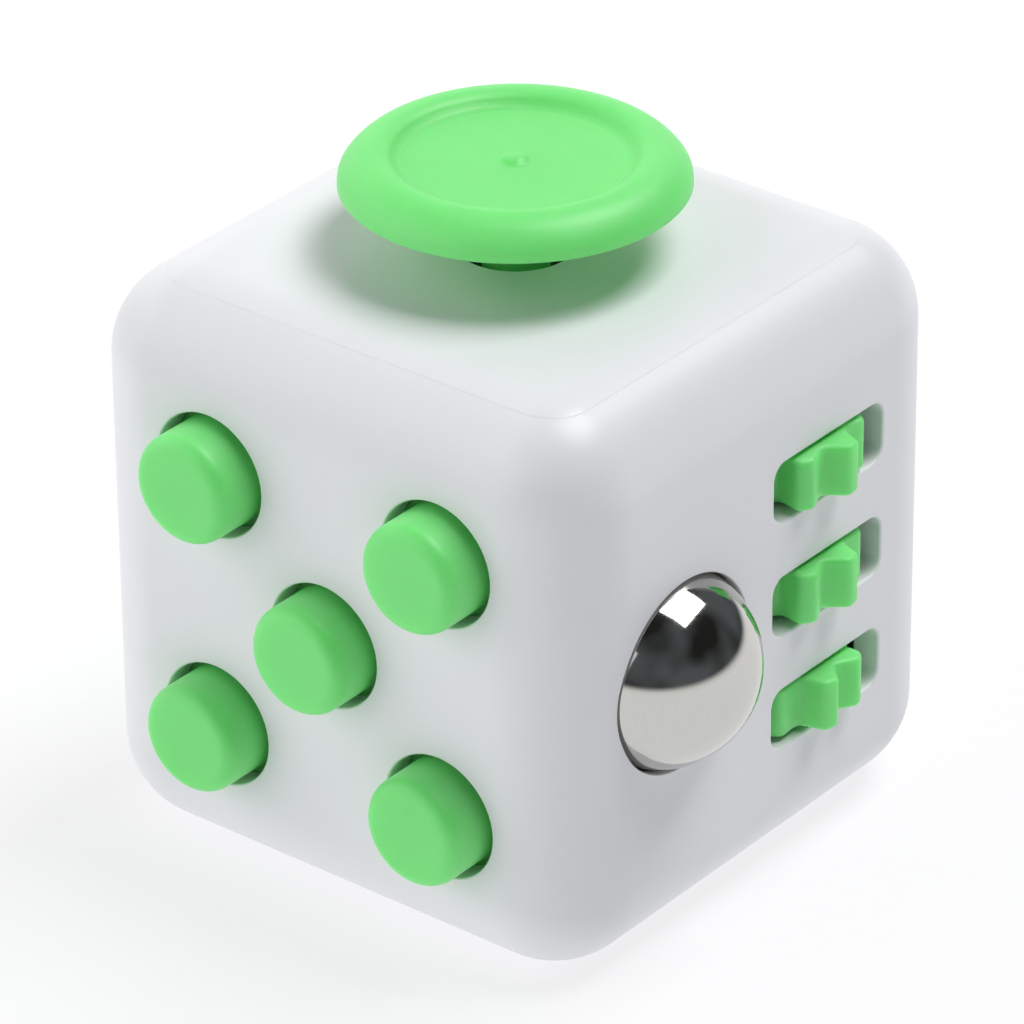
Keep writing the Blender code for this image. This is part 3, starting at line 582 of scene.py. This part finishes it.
profile += [(0.9, TOP - 0.67), (0.75, TOP - 0.63), (0.64, TOP - 0.52), (0.5, TOP - 0.42), (0.3, TOP - 0.37),
            (0.12, TOP - 0.35), (0, TOP - 0.35)]
pad = turned("thumb_pad", profile, "Z", (0, 0), 160)
shaped(pad, [peg("pilot", "Z", (0, 0), PILOT_R, 12, 16.4)])
moulded(pad, green_abs)
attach(pad, "pad")
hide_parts("glide_pad")

# Glass-filled nylon, black: fibres at the surface leave duller swirls 1.5 mm across.
black_nylon, spot = new_finish("black_nylon_moulded")
swirl = add(black_nylon, "ShaderNodeTexNoise", {"Scale": 1 / (1.5 * MM), "Detail": 3.0, "Distortion": 0.8},
            {"Vector": spot})
tint = add(black_nylon, "ShaderNodeMixRGB", {"Color1": linear("#19191B"), "Color2": linear("#222224")},
           {"Fac": swirl.outputs["Fac"]})
gloss = add(black_nylon, "ShaderNodeMapRange", {"To Min": 0.42, "To Max": 0.6}, {"Value": swirl.outputs["Fac"]})
surfaced(black_nylon, {"IOR": 1.53},
         {"Base Color": tint.outputs["Color"], "Roughness": gloss.outputs["Result"]})
finished(["glide_rider", "glide_carriage", "glide_frame"], black_nylon)
finished(["glide_spring"], silicone)
finished(["glide_screw"] + ["glide_frame_screw_%d" % k for k in (1, 2, 3, 4)], screw_steel)

# ---------------------------------------------------------------- flip rocker
# Two-position rocker in green ABS on a steel pin, snapped over by a bent leaf in its housing.
low, high, at = measured("flip_rocker")
PIVOT = measured("flip_pin")[2].y
TILT = radians(12)                    # the way it is tipped at rest
PEAK, ROCKER_HALF, PIN_HOLE_R = 4.8, 5.5, 0.68
END = (high.y - 0.06 - PIVOT - PEAK * sin(TILT)) / cos(TILT)
crown = [(ROCKER_HALF, END - 0.6), (5.42, END - 0.3), (5.22, END - 0.08), (PEAK, END), (3.9, END - 0.28),
         (3.0, END - 0.52), (1.5, END - 0.84)]
crown = crown + [(0.0, END - 0.95)] + [(-u, v) for u, v in crown[::-1]]
foot = [(-4.6, -0.6), (-2.2, -1.5), (-1.1, -1.9), (-0.25, -2.9), (0.25, -2.9), (1.1, -1.9), (2.2, -1.5),
        (4.6, -0.6), (ROCKER_HALF, 1.6)]
outline = []
for u, v in eased(crown, 4) + [(-ROCKER_HALF, 1.6)] + foot:
    outline.append((PIVOT + v * cos(TILT) + u * sin(TILT), u * cos(TILT) - v * sin(TILT)))
rocker = pillow("rocker_key", outline[::-1], "X", low.x, high.x, 0.3)
shaped(rocker, [peg("pin_hole", "X", (PIVOT, 0), PIN_HOLE_R, -4, 4)])
moulded(rocker, green_abs)
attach(rocker, "rocker")
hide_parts("flip_rocker")
finished(["flip_pin", "flip_spring"], spring_steel)
finished(["flip_housing"], inner_abs)
finished(["flip_screw_1", "flip_screw_2"], screw_steel)

# ---------------------------------------------------------------- spin dial
# Green ABS disc in a shallow seat, turned by a small knob near its rim. Its axle is held from
# inside by a screw, an acetal washer and a cone washer.
KNOB_END = measured("spin_dial")[0].x
FACE = -HALF - 0.8
DIAL_R, DIAL_BACK, AXLE_R, KNOB_R, KNOB_OFF, DIAL_ROUND = 7.0, -16.1, 1.6, 1.25, 4.8, 0.45
ways = [pi / 2 * k / 6 for k in range(7)]
dial = [(0, FACE), (2.0, FACE), (6.35, FACE)]
dial += [(DIAL_R - DIAL_ROUND * (1 - sin(w)), FACE + DIAL_ROUND * (1 - cos(w))) for w in ways]
dial += [(DIAL_R, DIAL_BACK - 0.1), (DIAL_R - 0.1, DIAL_BACK), (AXLE_R, DIAL_BACK), (AXLE_R, -14.2),
         (AXLE_R - 0.1, -14.15), (0, -14.15)]
disc = turned("dial_disc", dial, "X", (0, 0), 160)
knob = [(0, KNOB_END), (0.5, KNOB_END)]
knob += [(KNOB_R - DIAL_ROUND * (1 - sin(w)), KNOB_END + DIAL_ROUND * (1 - cos(w))) for w in ways]
knob += [(KNOB_R, FACE - 0.12), (1.3, FACE - 0.04), (1.42, FACE + 0.05), (1.42, FACE + 0.4)]
shaped(disc, [turned("knob", knob, "X", (0, KNOB_OFF), 64)], "UNION")
shaped(disc, [peg("pilot", "X", (0, 0), PILOT_R, -16.2, -13)])
moulded(disc, green_abs)
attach(disc, "dial")
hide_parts("spin_dial")
finished(["dial_spring_washer"], spring_steel)
finished(["dial_washer"], acetal)
finished(["dial_screw"], screw_steel)

# ---------------------------------------------------------------- studio table and light
# A white sheet lit from underneath, one long softbox above and behind the toy, a big white card
# at the front left, a white sweep along the left and the horizon, and a dark room at the right.
TABLE_R = 260

# Matt white card with paper fibres, drawn 0.8 mm across.
card, spot = new_finish("matt_white_card")
fibre = add(card, "ShaderNodeTexNoise", {"Scale": 1 / (0.8 * MM), "Detail": 2.0}, {"Vector": spot})
tint = add(card, "ShaderNodeMixRGB", {"Color1": linear("#86868A"), "Color2": linear("#8A8A8C")},
           {"Fac": fibre.outputs["Fac"]})
surfaced(card, {"Roughness": 0.9, "Specular IOR Level": 0.2, "Emission Color": (1.0, 1.0, 1.0, 1.0),
                "Emission Strength": 0.72}, {"Base Color": tint.outputs["Color"]})
edge = [(TABLE_R * cos(2 * pi * k / 96), TABLE_R * sin(2 * pi * k / 96), -HALF) for k in range(96)]
table = as_object("table", edge, [list(range(96))])
table.data.transform(Matrix.Translation(MIDDLE) @ Matrix.Scale(MM, 4))
table.data.materials.append(card)


def softbox(name, spot, facing, side, size, radiance):
    """Rectangular area light at a spot in metres from the cube's middle, its back facing a way."""
    lamp = bpy.data.lights.new(name, "AREA")
    lamp.shape, lamp.size, lamp.size_y = "RECTANGLE", size[0], size[1]
    lamp.energy = radiance * pi * size[0] * size[1]
    made = bpy.data.objects.new(name, lamp)
    bpy.context.scene.collection.objects.link(made)
    facing = Vector(facing).normalized()
    side = Vector(side)
    side = (side - facing * side.dot(facing)).normalized()
    made.matrix_world = Matrix.Translation(MIDDLE + Vector(spot)) @ Matrix(
        (side, facing.cross(side), facing)).transposed().to_4x4()


softbox("key_softbox", (0.311, 0.659, 1.277), (0.437, -0.186, 0.880), (0.896, 0.179, -0.407),
        (0.61, 1.283), 8.6)
softbox("left_card", (-0.592, -0.912, 0.507), (-0.592, -0.912, 0.507), (0.839, -0.545, 0),
        (1.75, 1.0), 0.8)

world = bpy.data.worlds.new("studio_room")
bpy.context.scene.world = world
world.use_nodes = True
world.node_tree.nodes.clear()
way = add(world, "ShaderNodeTexCoord").outputs["Generated"]
part = add(world, "ShaderNodeSeparateXYZ", None, {"Vector": way})
left = add(world, "ShaderNodeMapRange", {"From Min": 0.04, "From Max": -0.2}, {"Value": part.outputs["X"]},
           interpolation_type="SMOOTHSTEP")
low = add(world, "ShaderNodeMapRange", {"From Min": 0.78, "From Max": 0.58}, {"Value": part.outputs["Z"]},
          interpolation_type="SMOOTHSTEP")
haze = add(world, "ShaderNodeTexNoise", {"Scale": 1.4, "Detail": 1.0}, {"Vector": way})
patches = add(world, "ShaderNodeMapRange", {"From Min": 0.4, "From Max": 0.68}, {"Value": haze.outputs["Fac"]})
room = add(world, "ShaderNodeMixRGB", {"Color1": (0.02, 0.021, 0.019, 1), "Color2": (0.11, 0.12, 0.13, 1)},
           {"Fac": patches.outputs["Result"]})
sweep = add(world, "ShaderNodeMixRGB", {"Color1": (0.3, 0.3, 0.3, 1), "Color2": (0.95, 0.95, 0.94, 1)},
            {"Fac": low.outputs["Result"]})
room = add(world, "ShaderNodeMixRGB", None, {"Fac": left.outputs["Result"], "Color1": room.outputs["Color"],
                                             "Color2": sweep.outputs["Color"]})
foot = add(world, "ShaderNodeMapRange", {"From Min": 0.09, "From Max": -0.05}, {"Value": part.outputs["Z"]},
           interpolation_type="SMOOTHSTEP")
room = add(world, "ShaderNodeMixRGB", {"Color2": (0.95, 0.95, 0.94, 1)},
           {"Fac": foot.outputs["Result"], "Color1": room.outputs["Color"]})
glow = add(world, "ShaderNodeBackground", {"Strength": 1.0}, {"Color": room.outputs["Color"]})
add(world, "ShaderNodeOutputWorld", None, {"Surface": glow.outputs["Background"]})

# ---------------------------------------------------------------- camera
# Long lens a little above and to the right of the button face's corner.
TURN, RISE, ROLL = radians(38.787), radians(29.479), radians(-0.51)
away = Vector((sin(TURN) * cos(RISE), -cos(TURN) * cos(RISE), sin(RISE)))
side = Vector((cos(TURN), sin(TURN), 0))
up = away.cross(side)
side, up = side * cos(ROLL) + up * sin(ROLL), up * cos(ROLL) - side * sin(ROLL)
lens = bpy.data.cameras.new("camera")
lens.lens, lens.sensor_width, lens.clip_start, lens.clip_end = 244.1, 36.0, 0.01, 20.0
camera = bpy.data.objects.new("camera", lens)
bpy.context.scene.collection.objects.link(camera)
camera.matrix_world = Matrix.Translation(MIDDLE + Vector((0.200464, -0.249958, 0.181605))) @ Matrix(
    (side, up, away)).transposed().to_4x4()
bpy.context.scene.camera = camera
bpy.context.scene.view_settings.view_transform = "Standard"
